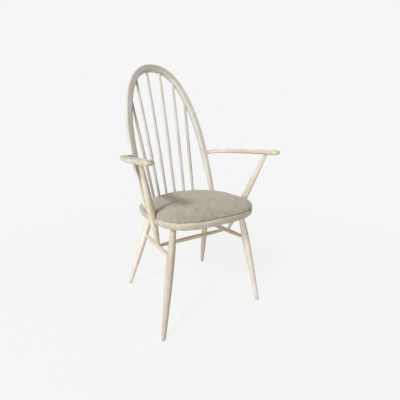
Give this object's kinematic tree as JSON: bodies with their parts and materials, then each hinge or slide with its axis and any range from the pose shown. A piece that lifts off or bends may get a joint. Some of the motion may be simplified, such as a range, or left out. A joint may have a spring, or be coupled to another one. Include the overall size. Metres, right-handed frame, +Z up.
{
  "type": "dining armchair",
  "caption": "Bow-back wooden dining armchair with fanned turned spindles, bent arms on raking posts, splayed turned legs with an H stretcher, and a fitted fabric seat pad.",
  "frame": {"origin": "on the floor, under the middle of the chair's box", "axes": "+Z up, the sitter faces -Y, +X to the right of someone who looks at the chair's front"},
  "size_m": [0.5318, 0.558, 0.9656],
  "materials": {
    "bleached_elm": "bleached, matt wax",
    "bleached_beech": "bleached, matt wax",
    "wedge_wood": "bare end grain, waxed over",
    "screw_steel": "bright zinc",
    "taupe_weave": "matt plain weave",
    "pad_foam": "open cell foam",
    "zip_tape": "woven tape"
  },
  "bodies": {
    "root": {"seat_board": "bleached_elm", "back_bow": "bleached_beech", "back_spindle_1": "bleached_beech", "back_spindle_2": "bleached_beech", "back_spindle_3": "bleached_beech", "back_spindle_4": "bleached_beech", "back_spindle_5": "bleached_beech", "back_spindle_6": "bleached_beech", "arm_left": "bleached_beech", "arm_right": "bleached_beech", "arm_post_left": "bleached_beech", "arm_post_right": "bleached_beech", "leg_front_left": "bleached_beech", "leg_front_right": "bleached_beech", "leg_rear_left": "bleached_beech", "leg_rear_right": "bleached_beech", "side_stretcher_left": "bleached_beech", "side_stretcher_right": "bleached_beech", "cross_stretcher": "bleached_beech", "leg_wedge_front_left": "wedge_wood", "leg_wedge_front_right": "wedge_wood", "leg_wedge_rear_left": "wedge_wood", "leg_wedge_rear_right": "wedge_wood", "bow_wedge_left": "wedge_wood", "bow_wedge_right": "wedge_wood", "arm_screw_plug_left": "wedge_wood", "arm_screw_plug_right": "wedge_wood", "arm_screw_left": "screw_steel", "arm_screw_right": "screw_steel", "seat_pad_cover": "taupe_weave", "seat_pad_foam": "pad_foam", "seat_pad_zip": "zip_tape"}
  },
  "joints": []
}
